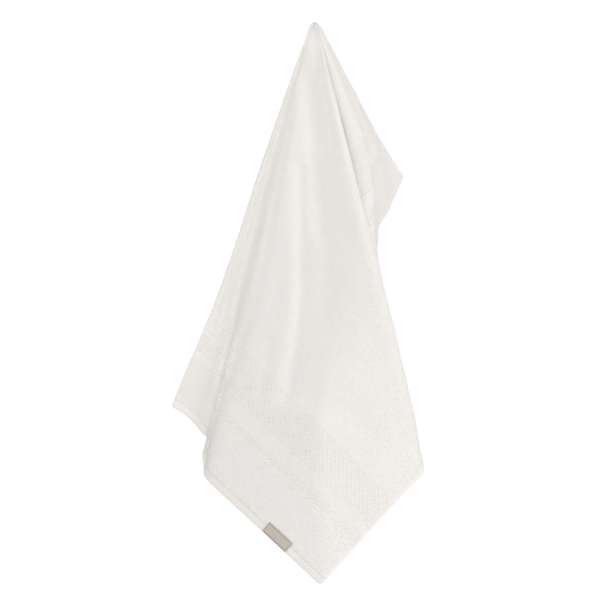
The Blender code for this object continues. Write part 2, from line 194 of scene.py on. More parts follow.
def panel_point(i, share, rounds, runs, turns, width):
    heading, run = runs[i]
    leaving = rounds[i].radius * turns[i] / 2.0
    reaching = rounds[i + 1].radius * turns[i + 1] / 2.0
    slack = max(width - leaving - run - reaching, 0.0)
    place = share * (leaving + run + slack + reaching)
    if place < leaving:
        return round_point(rounds[i], heading - rounds[i].side * (leaving - place) / rounds[i].radius)
    if place > leaving + run + slack:
        past = place - leaving - run - slack
        return round_point(rounds[i + 1], heading + rounds[i + 1].side * past / rounds[i + 1].radius)
    along = (place - leaving) / (run + slack)
    direction = Vector((math.cos(heading), math.sin(heading)))
    bulge = BOW_SHAPE * math.sqrt(run * slack) * FOLDS[i].bow * (1.0 - math.cos(2.0 * math.pi * along)) / 2.0
    aside = Vector((-direction.y, direction.x)) * bulge
    return round_point(rounds[i], heading) + direction * run * along + aside


# %% All cuts, as one table of leans
TABLE_STEP = 0.5  # degrees
TABLE_LEVELS = 72
LEVEL_GROWTH = 1.5  # levels lie closer together near the top
SHORTEST, LONGEST = 0.003, 0.735  # reaches


def softened(cut):
    span = int(4.0 * SOFTENING / TABLE_STEP)
    offsets = np.arange(-span, span + 1)
    weights = np.exp(-0.5 * (offsets * TABLE_STEP / SOFTENING) ** 2)
    weights /= weights.sum()
    before = 2.0 * cut[:1] - cut[span:0:-1]
    after = 2.0 * cut[-1:] - cut[-2 : -span - 2 : -1]
    padded = np.concatenate([before, cut, after])
    return np.stack([np.convolve(padded[:, k], weights, "valid") for k in (0, 1)], axis=1)


def cut_through(reach):
    rounds = fold_rounds(reach)
    runs = [straight_run(start, end) for start, end in zip(rounds, rounds[1:])]
    turns = [0.0]
    for i in range(1, len(rounds) - 1):
        turn = (rounds[i].side * (runs[i][0] - runs[i - 1][0])) % (2.0 * math.pi)
        turns.append(turn if turn < MOST_TURN else 0.0)
    turns.append(0.0)
    points = []
    row = 0
    for step in range(int(180.0 / TABLE_STEP) + 1):
        angle = step * TABLE_STEP
        while row < len(FOLDS) - 2 and angle >= FOLDS[row + 1].angle:
            row += 1
        span = FOLDS[row + 1].angle - FOLDS[row].angle
        share = (angle - FOLDS[row].angle) / span
        points.append(panel_point(row, share, rounds, runs, turns, span * reach / cone_radius(reach)))
    return softened(np.array(points))


LEVEL_REACHES = SHORTEST + (LONGEST - SHORTEST) * np.linspace(0.0, 1.0, TABLE_LEVELS) ** LEVEL_GROWTH
LEAN_TABLE = np.array([cut_through(reach) for reach in LEVEL_REACHES])
print("table of leans:", LEAN_TABLE.shape)

# %% [markdown]
# From a flat place the table gives the lean, and the lean and the reach give the place in space: down a
# cone whose top is rounded, because the cloth goes over a hook. All of it works on whole arrays of places
# at once, so the same two functions serve the sheet, the pile, the borders, the stitches and the label.


# %% From a flat place to its place in space
LEAST_REACH = 0.0012


def hang(across, along):
    """Points in space of the middle of the cloth, for arrays of flat places."""
    down = HANG_HEIGHT - along
    angle = np.degrees(np.arctan2(across, down))
    reach = np.maximum(np.hypot(across, down), LEAST_REACH)
    level = np.interp(reach, LEVEL_REACHES, np.arange(TABLE_LEVELS))
    low = np.minimum(level.astype(int), TABLE_LEVELS - 2)
    step = np.clip(angle / TABLE_STEP, 0.0, LEAN_TABLE.shape[1] - 1.001)
    left = step.astype(int)
    up, right = (level - low)[..., None], (step - left)[..., None]
    nearer = LEAN_TABLE[low, left] * (1.0 - right) + LEAN_TABLE[low, left + 1] * right
    further = LEAN_TABLE[low + 1, left] * (1.0 - right) + LEAN_TABLE[low + 1, left + 1] * right
    lean = nearer * (1.0 - up) + further * up
    length = np.maximum(np.hypot(lean[..., 0], lean[..., 1]), 1e-9)
    steepness = np.tan(np.radians(length))
    slope = lean * (steepness / length)[..., None]
    square = steepness**2
    rounding = HOOK_ROUNDING * square
    drop = (np.sqrt(rounding**2 + (1.0 + square) * reach**2) - rounding) / (1.0 + square)
    blunt = 1.0 + BLUNT * np.exp(-((drop / BLUNT_DEPTH) ** 2))
    spread = np.sqrt(drop**2 + 2.0 * HOOK_ROUNDING * drop) * blunt
    return np.stack([spread * slope[..., 0], spread * slope[..., 1], -drop], axis=-1)


def directions(across, along, step=0.0006):
    """Unit vectors across and along the hung cloth, and out of its labelled side."""
    run_across = hang(across + step, along) - hang(np.maximum(across - step, 0.0), along)
    run_along = hang(across, along + step) - hang(across, along - step)
    out = np.cross(run_across, run_along)
    out /= np.maximum(np.linalg.norm(out, axis=-1, keepdims=True), 1e-12)
    run_across /= np.maximum(np.linalg.norm(run_across, axis=-1, keepdims=True), 1e-12)
    return run_across, np.cross(out, run_across), out


print("corner of the labelled hem hangs at", np.round(hang(np.array([0.5]), np.array([0.0]))[0], 3))

# %% [markdown]
# ## Soft troughs and ridges
# Between the folds the cloth isn't flat. The long ones are listed, a row of the table for each, and
# hardly any is straight or even. The two front troughs are a little deeper here than in the plain solid,
# because the light of the photograph fills them. Two layers of gentle noise add the dents that no one would
# place by hand.

# %% Troughs, ridges and small dents
Crease = namedtuple("Crease", "name from_angle from_reach to_angle to_reach half_width height")
CREASE_FALL = 0.7
CREASES = [
    Crease("long middle trough", 35.4, 0.190, 38.6, 0.480, 0.009, -0.0052),
    Crease("short trough beside it", 33.0, 0.410, 34.5, 0.480, 0.006, -0.0016),
    Crease("upper trough", 35.0, 0.072, 42.5, 0.262, 0.010, -0.0042),
    Crease("upper left ridge", 26.5, 0.090, 31.0, 0.270, 0.012, 0.0012),
    Crease("upper right ridge", 47.5, 0.080, 52.5, 0.240, 0.009, 0.0018),
    Crease("broad swelling", 46.0, 0.330, 47.5, 0.430, 0.032, 0.0050),
    Crease("dent over the border", 42.0, 0.480, 51.0, 0.520, 0.016, -0.0045),
    Crease("rounded right corner", 58.5, 0.555, 59.5, 0.590, 0.018, -0.0038),
    Crease("selvedge ripple", 7.0, 0.260, 9.0, 0.430, 0.014, 0.0030),
    Crease("hidden trough", 70.0, 0.300, 73.0, 0.480, 0.015, -0.0040),
    Crease("hidden ridge", 98.0, 0.250, 101.0, 0.430, 0.014, 0.0035),
    Crease("back trough", 118.0, 0.280, 115.0, 0.480, 0.015, -0.0040),
    Crease("flap trough", 161.0, 0.100, 159.0, 0.240, 0.012, -0.0030),
    Crease("corner ripple", 172.0, 0.130, 170.0, 0.250, 0.012, 0.0025),
]
DENTS = ((0.060, 0.0009), (0.022, 0.0004))  # size and height of each layer
DENTS_START, DENTS_FADE = 0.04, 0.12  # reach where they start, and how much further they are full
DENTS_SEED = 1.7


def flat_place(angle, reach):
    turn = math.radians(angle)
    return np.array([reach * math.sin(turn), HANG_HEIGHT - reach * math.cos(turn)])


def crease_height(across, along):
    height = np.zeros_like(across)
    for crease in CREASES:
        start = flat_place(crease.from_angle, crease.from_reach)
        line = flat_place(crease.to_angle, crease.to_reach) - start
        to_x, to_y = across - start[0], along - start[1]
        share = np.clip((to_x * line[0] + to_y * line[1]) / line.dot(line), 0.0, 1.0)
        away = np.hypot(to_x - share * line[0], to_y - share * line[1]) / crease.half_width
        height += crease.height * np.exp(-CREASE_FALL * away**2)
    return height


def dent_height(across, along):
    """Small dents, faded out near the hook, where the pleats are squeezed flat."""
    reach = np.hypot(across, HANG_HEIGHT - along)
    fade = np.clip((reach - DENTS_START) / DENTS_FADE, 0.0, 1.0)
    height = np.zeros_like(across)
    for size, tall in DENTS:
        places = zip(across.flat, along.flat)
        values = [noise.noise(Vector((x / size, y / size, DENTS_SEED))) for x, y in places]
        height += tall * np.array(values).reshape(across.shape)
    return height * fade


def surface(across, along, lift):
    """Points that stand this far out of the middle of the cloth, to the labelled side when above 0."""
    relief = crease_height(across, along) + dent_height(across, along)
    run_across, run_along, out = directions(across, along)
    return hang(across, along) + out * (relief + lift)[..., None], run_across, run_along, out


print(len(CREASES), "troughs and ridges,", len(DENTS), "layers of dents")

# %% [markdown]
# ## The thickness of each zone
# Terry is thick where the loops stand, thin where the weaver left them out for a border, and double at the
# hem. A list of zones, measured from the nearer short end, gives each its own half thickness, and a short
# slope joins one zone to the next. A closed sheet with that thickness is honest geometry, where a flat
# sheet with bump isn't.

# %% Zones of the cloth
HEM = 0.0100
NARROW_BORDER = (0.068, 0.081)
WIDE_BORDER = (0.101, 0.148)
SLOPE = 0.0012
TERRY_HALF = 0.00105
BORDER_HALF = 0.00070
HEM_HALF = 0.00145
SEAM_HALF = 0.00085
CORD_HALF = 0.00105
CROWN_HALF = 0.00040
FULL_PILE_REACH = 0.17  # the cloth is pressed thinner nearer the top than this
RIM = 0.0016  # the edge rounds off over this far
RIM_SHARE = 0.35  # and keeps this share of its thickness at the very edge

ZONES = [  # from the short end: where each zone ends, and its half thickness
    (HEM - 0.0012, HEM_HALF),
    (HEM + 0.0008, SEAM_HALF),
    (NARROW_BORDER[0] - 0.0012, TERRY_HALF),
    (NARROW_BORDER[0] + 0.0004, CORD_HALF),
    (NARROW_BORDER[1], BORDER_HALF),
    (WIDE_BORDER[0] - 0.0014, TERRY_HALF),
    (WIDE_BORDER[0] + 0.0002, CORD_HALF),
    (WIDE_BORDER[1], BORDER_HALF),
    (CLOTH_LENGTH, TERRY_HALF),
]


def from_end(along):
    return np.minimum(along, CLOTH_LENGTH - along)


def half_thickness(across, along):
    end = from_end(along)
    half = np.full_like(across, ZONES[0][1])
    for (edge, _), (_, following) in zip(ZONES, ZONES[1:]):
        share = np.clip((end - edge) / SLOPE + 0.5, 0.0, 1.0)
        half = half * (1.0 - share) + following * share
    inward = np.clip(np.minimum(end, np.minimum(across, CLOTH_WIDTH - across)) / RIM, 0.0, 1.0)
    half *= RIM_SHARE + (1.0 - RIM_SHARE) * np.sqrt(1.0 - (1.0 - inward) ** 2)
    reach = np.hypot(across, HANG_HEIGHT - along)
    pressed = CROWN_HALF / TERRY_HALF
    return half * (pressed + (1.0 - pressed) * np.clip(reach / FULL_PILE_REACH, 0.0, 1.0))


print("zones from each short end:", len(ZONES))

# %% [markdown]
# ## The sheet
# A grid on the flat cloth, with its lines along the weave, keeps the borders and hems crisp. The lines are
# close together at the hanging point, where the pleats are small, and wider apart further out. Both sides
# and the rim make one closed skin, and the flat place of each point goes along as a UV map in metres, so
# that the materials can follow the weave.

# %% Grid lines
FINEST, COARSEST, GROWTH = 0.0005, 0.0036, 1.055
LONGEST_LAST_STEP = 1.4
LEAST_GAP_ACROSS, LEAST_GAP_ALONG = 0.0005, 0.0011
RIM_LINES = (0.0, 0.0004, 0.0010, 0.0020, 0.0034, 0.0048, 0.0062)  # in from each edge, for its rounding
CORNER_RADIUS = 0.0062


def graded_lines(start, end):
    """Places from start to end whose spacing grows from the finest to the coarsest."""
    places, step = [start], FINEST
    sign = 1.0 if end > start else -1.0
    while abs(end - places[-1]) > step * LONGEST_LAST_STEP:
        places.append(places[-1] + sign * step)
        step = min(step * GROWTH, COARSEST)
    return places + [end]


def zone_lines():
    edges = [edge + side * SLOPE / 2.0 for edge, _ in ZONES[:-1] for side in (-1.0, 1.0)]
    return edges + [CLOTH_LENGTH - edge for edge in edges]


def rim_lines(size):
    return list(RIM_LINES) + [size - line for line in RIM_LINES]


def merged_lines(places, exact, least_gap):
    """The places with the exact ones put in, and those too close to them left out."""
    kept = [place for place in places if min(abs(place - line) for line in exact) > least_gap]
    return np.array(sorted(set(kept) | set(exact)))


def rounded_corners(across, along):
    """The same places, drawn in at the four corners of the cloth so that its outline is round there."""
    middle_across, middle_along = CLOTH_WIDTH / 2.0, CLOTH_LENGTH / 2.0
    from_middle = across - middle_across, along - middle_along
    straight = middle_across - CORNER_RADIUS, middle_along - CORNER_RADIUS
    out = [np.clip(np.abs(place) - edge, 0.0, None) for place, edge in zip(from_middle, straight)]
    length = np.maximum(np.hypot(*out), 1e-12)
    shrink = np.where(length > 1e-9, 1.0 - np.maximum(*out) / length, 0.0)
    moved = [place - np.sign(place) * far * shrink for place, far in zip(from_middle, out)]
    return moved[0] + middle_across, moved[1] + middle_along


across_lines = merged_lines(graded_lines(0.0, CLOTH_WIDTH), rim_lines(CLOTH_WIDTH), LEAST_GAP_ACROSS)
along_lines = merged_lines(
    graded_lines(HANG_HEIGHT, 0.0) + graded_lines(HANG_HEIGHT, CLOTH_LENGTH)[1:],
    zone_lines() + rim_lines(CLOTH_LENGTH),
    LEAST_GAP_ALONG,
)


# %% The closed sheet
def mesh_object(name, points, faces):
    mesh = bpy.data.meshes.new(name)
    mesh.from_pydata([tuple(point) for point in points], [], faces)
    mesh.validate()
    mesh.shade_smooth()
    return link(bpy.data.objects.new(name, mesh))


def closed_faces(columns, rows):
    """Faces of a closed sheet whose points are a grid for its outer side and then one for its inner side."""
    back = columns * rows

    def corner(i, j, side):
        return side * back + i * rows + j

    faces = []
    for i in range(columns - 1):
        for j in range(rows - 1):
            faces.append((corner(i, j, 0), corner(i + 1, j, 0), corner(i + 1, j + 1, 0), corner(i, j + 1, 0)))
            faces.append((corner(i, j, 1), corner(i, j + 1, 1), corner(i + 1, j + 1, 1), corner(i + 1, j, 1)))
    rim = [(i, 0) for i in range(columns - 1)]
    rim += [(columns - 1, j) for j in range(rows - 1)]
    rim += [(i, rows - 1) for i in range(columns - 1, 0, -1)]
    rim += [(0, j) for j in range(rows - 1, 0, -1)]
    for (i, j), (k, m) in zip(rim, rim[1:] + rim[:1]):
        faces.append((corner(i, j, 0), corner(i, j, 1), corner(k, m, 1), corner(k, m, 0)))
    return faces


def add_flat_map(thing, flat):
    """The flat place of every corner of every face, in metres, as a UV map."""
    layer = thing.data.uv_layers.new(name="flat")
    corners = np.empty(len(thing.data.loops), dtype=np.int32)
    thing.data.loops.foreach_get("vertex_index", corners)
    layer.data.foreach_set("uv", flat[corners].astype(np.float32).ravel())


def make_sheet():
    across, along = rounded_corners(*np.meshgrid(across_lines, along_lines, indexing="ij"))
    half = half_thickness(across, along)
    labelled = surface(across, along, half)[0].reshape(-1, 3)
    plain = surface(across, along, -half)[0].reshape(-1, 3)
    sheet = mesh_object("terry_cloth", np.concatenate([labelled, plain]), closed_faces(*across.shape))
    flat = np.stack([across.ravel(), along.ravel()], axis=1)
    add_flat_map(sheet, np.concatenate([flat, flat]))
    return sheet


towel = make_sheet()
print("lines:", len(across_lines), "across and", len(along_lines), "along")
print("sheet:", len(towel.data.polygons) * 2, "triangles")

# %% [markdown]
# ## The gathered top
# Over the hook the pleats press into one soft mass. Its form follows from the folds: at each reach, the
# skin goes round the outside of the cloth and spans the gaps between the pleats. It stands a little proud
# at the very top, and further down it sinks behind the folds, so that the valleys between them begin little
# by little.

# %% Hood over the pleats
HOOD_REACHES = np.array([0.0012, 0.0026, 0.0042, 0.0060, 0.0080, 0.0104, 0.0132, 0.0165, 0.0205, 0.0255])
HOOD_SWELL = np.array([0.90, 0.90, 0.88, 0.86, 0.84, 0.82, 0.80, 0.76, 0.72, 0.66])
HOOD_SIDES = 64
HOOD_TOP = 0.0001
HOOD_GRIP = 14.0  # how closely the skin follows the outermost cloth


def hood_ring(reach, swell):
    """A loop round the cloth at this reach; each point is a mean of the cloth that lies furthest its way."""
    turns = np.radians(np.linspace(0.0, 180.0, 361))
    cloth = hang(reach * np.sin(turns), HANG_HEIGHT - reach * np.cos(turns))
    middle = (cloth.min(axis=0) + cloth.max(axis=0)) / 2.0
    size = np.hypot(*np.ptp(cloth, axis=0)[:2]) / 2.0
    ways = 2.0 * math.pi * np.arange(HOOD_SIDES) / HOOD_SIDES
    ways = np.stack([np.cos(ways), np.sin(ways)], axis=1)
    weights = np.exp(HOOD_GRIP * (ways @ (cloth - middle)[:, :2].T) / size)
    ring = (weights @ cloth) / weights.sum(axis=1, keepdims=True)
    ring[:, :2] = middle[:2] + (ring[:, :2] - middle[:2]) * swell
    return ring


def make_hood():
    rings = [hood_ring(reach, swell) for reach, swell in zip(HOOD_REACHES, HOOD_SWELL)]
    top = [rings[0].mean(axis=0) * (1.0, 1.0, 0.0) + (0.0, 0.0, HOOD_TOP)]
    bottom = [rings[-1].mean(axis=0)]
    last = len(rings) - 1
    faces = []
    for k in range(HOOD_SIDES):
        m = (k + 1) % HOOD_SIDES
        faces.append((0, 1 + k, 1 + m))
        for ring in range(last):
            upper, lower = 1 + ring * HOOD_SIDES, 1 + (ring + 1) * HOOD_SIDES
            faces.append((upper + k, lower + k, lower + m, upper + m))
        faces.append((1 + last * HOOD_SIDES + k, 1 + len(rings) * HOOD_SIDES, 1 + last * HOOD_SIDES + m))
    return mesh_object("gathered_top", np.concatenate([top] + rings + [bottom]), faces)


knob = make_hood()
print("gathered top:", len(knob.data.polygons), "faces")

# %% [markdown]
# ## Placing many small things
# Loops of pile, raised dots, leaf shapes and stitches all do the same: a small shape stands on the cloth,
# turned to it, thousands of times. One Geometry Nodes tree does that for any shape and any set of points.
# Each point carries the direction out of the cloth and the direction of its run. The tree ends by making
# the copies real and giving them their material, because copies that aren't real are lost when the model
# leaves Blender.


# %% The tree that places copies
SHARP_RIM = math.radians(65.0)  # keeps the buried underside out of the shading of the rim


def add_node(tree, kind, inputs=None, **settings):
    """A new node, with its settings, and with each input set to a value or linked to a socket."""
    made = tree.nodes.new(kind)
    for key, value in settings.items():
        setattr(made, key, value)
    for key, value in (inputs or {}).items():
        if isinstance(value, bpy.types.NodeSocket):
            tree.links.new(value, made.inputs[key])
        else:
            made.inputs[key].default_value = value
    return made


def named_vector(tree, name):
    found = add_node(tree, "GeometryNodeInputNamedAttribute", {"Name": name}, data_type="FLOAT_VECTOR")
    return found.outputs["Attribute"]


def random_float(tree, low, high, seed):
    made = add_node(tree, "FunctionNodeRandomValue", {2: low, 3: high, "Seed": seed}, data_type="FLOAT")
    return made.outputs[1]


COPIES_INPUTS = (
    ("Points", "Geometry"),
    ("Shape", "Object"),
    ("Smallest", "Float"),
    ("Largest", "Float"),
    ("Twist", "Float"),
    ("Seed", "Int"),
    ("Finish", "Material"),
)


def copies_tree():
    tree = bpy.data.node_groups.new("stand copies on the cloth", "GeometryNodeTree")
    for name, kind in COPIES_INPUTS:
        tree.interface.new_socket(name, in_out="INPUT", socket_type="NodeSocket" + kind)
    tree.interface.new_socket("Mesh", in_out="OUTPUT", socket_type="NodeSocketGeometry")
    given = add_node(tree, "NodeGroupInput").outputs
    upright = add_node(
        tree, "FunctionNodeAlignRotationToVector", {"Vector": named_vector(tree, "outward")}, axis="Z"
    )
    turned = add_node(
        tree,
        "FunctionNodeAlignRotationToVector",
        {"Rotation": upright.outputs[0], "Vector": named_vector(tree, "run")},
        axis="X",
        pivot_axis="Z",
    )
    size = random_float(tree, given["Smallest"], given["Largest"], given["Seed"])
    opposite = add_node(tree, "ShaderNodeMath", {0: given["Twist"], 1: -1.0}, operation="MULTIPLY")
    twist = random_float(tree, opposite.outputs[0], given["Twist"], given["Seed"])
    spin = add_node(tree, "FunctionNodeAxisAngleToRotation", {"Axis": (0.0, 0.0, 1.0), "Angle": twist})
    rotation = add_node(
        tree,
        "FunctionNodeRotateRotation",
        {"Rotation": turned.outputs[0], "Rotate By": spin.outputs[0]},
        rotation_space="LOCAL",
    )
    shape = add_node(tree, "GeometryNodeObjectInfo", {"Object": given["Shape"]})
    copies = add_node(
        tree,
        "GeometryNodeInstanceOnPoints",
        {
            "Points": given["Points"],
            "Instance": shape.outputs["Geometry"],
            "Rotation": rotation.outputs[0],
            "Scale": size,
        },
    )
    real = add_node(tree, "GeometryNodeRealizeInstances", {"Geometry": copies.outputs[0]})
    finished = add_node(
        tree, "GeometryNodeSetMaterial", {"Geometry": real.outputs[0], "Material": given["Finish"]}
    )
    result = add_node(tree, "NodeGroupOutput")
    tree.links.new(finished.outputs[0], result.inputs["Mesh"])
    return tree


COPIES = copies_tree()
print("tree that places copies:", len(COPIES.nodes), "nodes")


# %% Placing copies on the cloth
def place_copies(name, shape, points, outward, run, finish, sizes=(1.0, 1.0), twist=0.0, seed=1):
    """One plain mesh of all copies of the shape, each upright on the cloth at its point, along its run."""
    seeds = bpy.data.meshes.new(name + "_points")
    seeds.from_pydata([tuple(point) for point in points], [], [])
    for key, values in (("outward", outward), ("run", run)):
        layer = seeds.attributes.new(key, "FLOAT_VECTOR", "POINT")
        layer.data.foreach_set("vector", np.asarray(values, dtype=np.float32).ravel())
    carrier = link(bpy.data.objects.new(name + "_points", seeds))
    modifier = carrier.modifiers.new("copies", "NODES")
    modifier.node_group = COPIES
    wanted = {
        "Shape": shape,
        "Smallest": sizes[0],
        "Largest": sizes[1],
        "Twist": twist,
        "Seed": seed,
        "Finish": finish,
    }
    for item in COPIES.interface.items_tree:
        if item.in_out == "INPUT" and item.name in wanted:
            modifier[item.identifier] = wanted[item.name]
    graph = bpy.context.evaluated_depsgraph_get()
    mesh = bpy.data.meshes.new_from_object(carrier.evaluated_get(graph))
    mesh.name = name
    mesh.shade_smooth()
    mesh.set_sharp_from_angle(angle=SHARP_RIM)
    bpy.data.objects.remove(carrier)
    triangles = sum(len(face.vertices) - 2 for face in mesh.polygons)
    print(name + ":", len(points), "copies,", triangles, "triangles")
    return link(bpy.data.objects.new(name, mesh))


# %% [markdown]
# ## Small shapes
# Each shape is a low closed mound of 8 to 24 faces, because it is repeated hundreds or thousands of times.
# It lies on the ground with its length along X, and it never enters the scene itself: only its copies do.


# %% Small shapes
BURIED = 0.35  # of the height, below the ground


def mound(name, length, width, height, sides=6, rings=2, tip=0.0):
    """A closed low mound; tip slides its top along its length, so that a loop of pile leans."""
    body = bmesh.new()
    top = body.verts.new((tip * length, 0.0, height))
    bottom = body.verts.new((0.0, 0.0, -BURIED * height))
    loops = []
    for ring in range(1, rings + 1):
        rise = math.cos(0.5 * math.pi * ring / rings)
        out = math.sin(0.5 * math.pi * ring / rings)
        loop = []
        for k in range(sides):
            turn = 2.0 * math.pi * k / sides
            x = 0.5 * length * out * math.cos(turn) + tip * length * rise
            loop.append(body.verts.new((x, 0.5 * width * out * math.sin(turn), height * rise)))
        loops.append(loop)
    for k in range(sides):
        m = (k + 1) % sides
        body.faces.new((top, loops[0][k], loops[0][m]))
        for inner, outer in zip(loops, loops[1:]):
            body.faces.new((inner[k], outer[k], outer[m], inner[m]))
        body.faces.new((bottom, loops[-1][m], loops[-1][k]))
    bmesh.ops.recalc_face_normals(body, faces=body.faces)
    mesh = bpy.data.meshes.new(name)
    body.to_mesh(mesh)
    body.free()
    mesh.shade_smooth()
    return bpy.data.objects.new(name, mesh)


loop_shape = mound("loop shape", 0.0022, 0.0018, 0.0006, sides=4, rings=1, tip=0.12)
dot_shape = mound("dot shape", 0.0046, 0.0032, 0.0006, sides=8, rings=2)
leaf_shape = mound("leaf shape", 0.0062, 0.0032, 0.0004, sides=6, rings=2)
stitch_shape = mound("stitch shape", 0.0026, 0.0008, 0.0006, sides=6, rings=2)
for shape in (loop_shape, dot_shape, leaf_shape, stitch_shape):
    print(shape.name + ":", len(shape.data.polygons), "faces")

# %% [markdown]
# ## Finishes
# The whole towel is one off-white cotton, so the finishes differ only in their texture and their painted
# shade. Two effects are used in more than one finish, and each is a node group of its own: the bumpy ground
# between the loops, and the fine grid of plain weave. Each gives a height for the bump and a painted shade
# that darkens its low places. Cotton scatters light at grazing angles, which is what the sheen is for.

# %% Colours and shared effects
COTTON = (0.985, 0.975, 0.955, 1.0)
COTTON_DARK = (0.970, 0.955, 0.925, 1.0)
RAISED_THREAD = (0.990, 0.985, 0.970, 1.0)
SHADOW_LINE = (0.740, 0.720, 0.680, 1.0)
# painted shade: the plain-weave ground of the borders and the hem is drawn darker than terry, so that the
# raised threads on it stand out light
WOVEN_PAINTED_SHADE = 0.955  # plain weave beside terry
# painted shade: the low places of the terry ground and of the plain weave are drawn darker, as shade falls
# there
HOLLOW_PAINTED_SHADE = 0.04  # how much darker the low places of a ground are than its high ones
LABEL_GROUND = (0.620, 0.600, 0.520, 1.0)
LABEL_BORDER = (0.330, 0.310, 0.240, 1.0)


def maths(tree, operation, *values):
    return add_node(tree, "ShaderNodeMath", dict(enumerate(values)), operation=operation).outputs[0]


def effect_group(name):
    """An empty shader group: a place and a width go in, a height and a painted shade come out."""
    tree = bpy.data.node_groups.new(name, "ShaderNodeTree")
    tree.interface.new_socket("Place", in_out="INPUT", socket_type="NodeSocketVector")
    tree.interface.new_socket("Width", in_out="INPUT", socket_type="NodeSocketFloat")
    tree.interface.new_socket("Height", in_out="OUTPUT", socket_type="NodeSocketFloat")
    tree.interface.new_socket("Shade", in_out="OUTPUT", socket_type="NodeSocketFloat")
    return tree, add_node(tree, "NodeGroupInput").outputs, add_node(tree, "NodeGroupOutput").inputs


def loops_group():
    """Round bumps a loop's width apart, with larger soft patches where the loops lean together, and painted
    shade in the low places between the bumps.
    """
    tree, given, result = effect_group("terry ground")
    scale = maths(tree, "DIVIDE", 1.0, given["Width"])
    cells = add_node(tree, "ShaderNodeTexVoronoi", {"Vector": given["Place"], "Scale": scale}, feature="F1")
    rounded = maths(tree, "SUBTRACT", 1.0, cells.outputs["Distance"])
    noisy = {"Vector": given["Place"], "Scale": 110.0, "Detail": 3.0, "Roughness": 0.6}
    patches = add_node(tree, "ShaderNodeTexNoise", noisy)
    tree.links.new(maths(tree, "MULTIPLY_ADD", patches.outputs["Fac"], 0.6, rounded), result["Height"])
    tree.links.new(maths(tree, "MULTIPLY_ADD", rounded, HOLLOW_PAINTED_SHADE, 1.0 - HOLLOW_PAINTED_SHADE), result["Shade"])
    return tree


def weave_group():
    """Plain weave: threads over and under each other in both directions, with painted shade where they dip.
    """
    tree, given, result = effect_group("plain weave")
    parts = add_node(tree, "ShaderNodeSeparateXYZ", {"Vector": given["Place"]}).outputs
    turns = maths(tree, "DIVIDE", math.pi, given["Width"])
    warp = maths(tree, "SINE", maths(tree, "MULTIPLY", parts["X"], turns))
    weft = maths(tree, "SINE", maths(tree, "MULTIPLY", parts["Y"], turns))
    crossing = maths(tree, "MULTIPLY", warp, weft)
    tree.links.new(maths(tree, "MULTIPLY_ADD", crossing, 0.5, 0.5), result["Height"])
    tree.links.new(maths(tree, "MULTIPLY_ADD", crossing, HOLLOW_PAINTED_SHADE, 1.0 - HOLLOW_PAINTED_SHADE), result["Shade"])
    return tree


LOOPS = loops_group()
WEAVE = weave_group()
print("shared effects:", LOOPS.name, "and", WEAVE.name)


def use_group(tree, group, place, width):
    return add_node(tree, "ShaderNodeGroup", {"Place": place, "Width": width}, node_tree=group).outputs


def cotton_material(name, roughness=0.95, sheen=0.30):
    """A bare material of this name, with cotton's constant values set on its shader's own sockets."""
    material = bpy.data.materials.new(name)
    material.use_nodes = True
    shader = material.node_tree.nodes["Principled BSDF"]
    shader.inputs["Roughness"].default_value = roughness
    shader.inputs["Specular IOR Level"].default_value = 0.25
    shader.inputs["Sheen Weight"].default_value = sheen
    shader.inputs["Sheen Roughness"].default_value = 0.5
    return material, material.node_tree, shader


def blended(tree, share, first, second):
    """This share of the way from the first colour to the second."""
    return add_node(tree, "ShaderNodeMix", {0: share, 6: first, 7: second}, data_type="RGBA").outputs[2]


def mottled(tree, place, scale, share, colour, deep):
    """The colour, in patches of this scale drawn up to this share of the way to the deep one."""
    patches = add_node(tree, "ShaderNodeTexNoise", {"Vector": place, "Scale": scale, "Detail": 2.0})
    return blended(tree, maths(tree, "MULTIPLY", patches.outputs["Fac"], share), colour, deep)


def shade_base(tree, shader, colour, shade):
    """The colour times the painted shade, as the shader's base colour."""
    shaded = add_node(tree, "ShaderNodeVectorMath", {0: colour, "Scale": shade}, operation="SCALE")
    tree.links.new(shaded.outputs[0], shader.inputs["Base Color"])


def bumped(tree, shader, height, strength, distance):
    bump = add_node(tree, "ShaderNodeBump", {"Height": height, "Strength": strength, "Distance": distance})
    tree.links.new(bump.outputs[0], shader.inputs["Normal"])


# %% [markdown]
# The sheet itself shows terry, borders and hem. Its UV map holds flat metres, so plain arithmetic on the
# distance to the nearer end says which zone a point is in, with edges far sharper than the mesh. Terry
# ground shows through where a zone is terry, and plain weave where it is a border or a hem. The woven
# ground carries painted shade, and thin lines of painted shadow run along the hem stitching and along the
# lower edge of each border.


# %% Finish of the sheet
TERRY_LOOP = 0.0016
SHEET_THREAD = 0.00055
LIGHT_DEPTH = 0.0022  # how far light wanders inside the pile
# painted shade: the ground around the leaf sprays is drawn darker, so that the leaves stand out light
GAPS_PAINTED_SHADE = -0.030  # how much darker the ground is between the leaves of a spray
GAPS_MARGIN = 0.0030  # and how far in from the edges of the narrow border it is so
# painted shadow: thin dark lines along the hem stitching and along the lower edge of each border
HEM_SHADOW_LINE = (HEM - 0.0006, HEM + 0.0004)
BORDER_SHADOW_LINE = (-0.0014, -0.0002)  # from the lower edge of each border
LINE_SOFTNESS = 0.0003
SHADOW_LINE_STRENGTH = 0.6
SHEET_MOTTLE = (14.0, 0.22)  # scale and share
SHEET_BUMP = (0.32, 0.0006)  # strength and height
WEAVE_RELIEF = 0.15  # how tall plain weave is, as a share of the terry ground


def inside(tree, value, low, high, soft=0.0006):
    """1 between low and high, falling off softly at both."""
    steps = []
    for edge in (low, high):
        limits = {0: value, 1: edge - soft, 2: edge + soft}
        steps.append(add_node(tree, "ShaderNodeMapRange", limits, interpolation_type="SMOOTHSTEP").outputs[0])
    return maths(tree, "SUBTRACT", *steps)


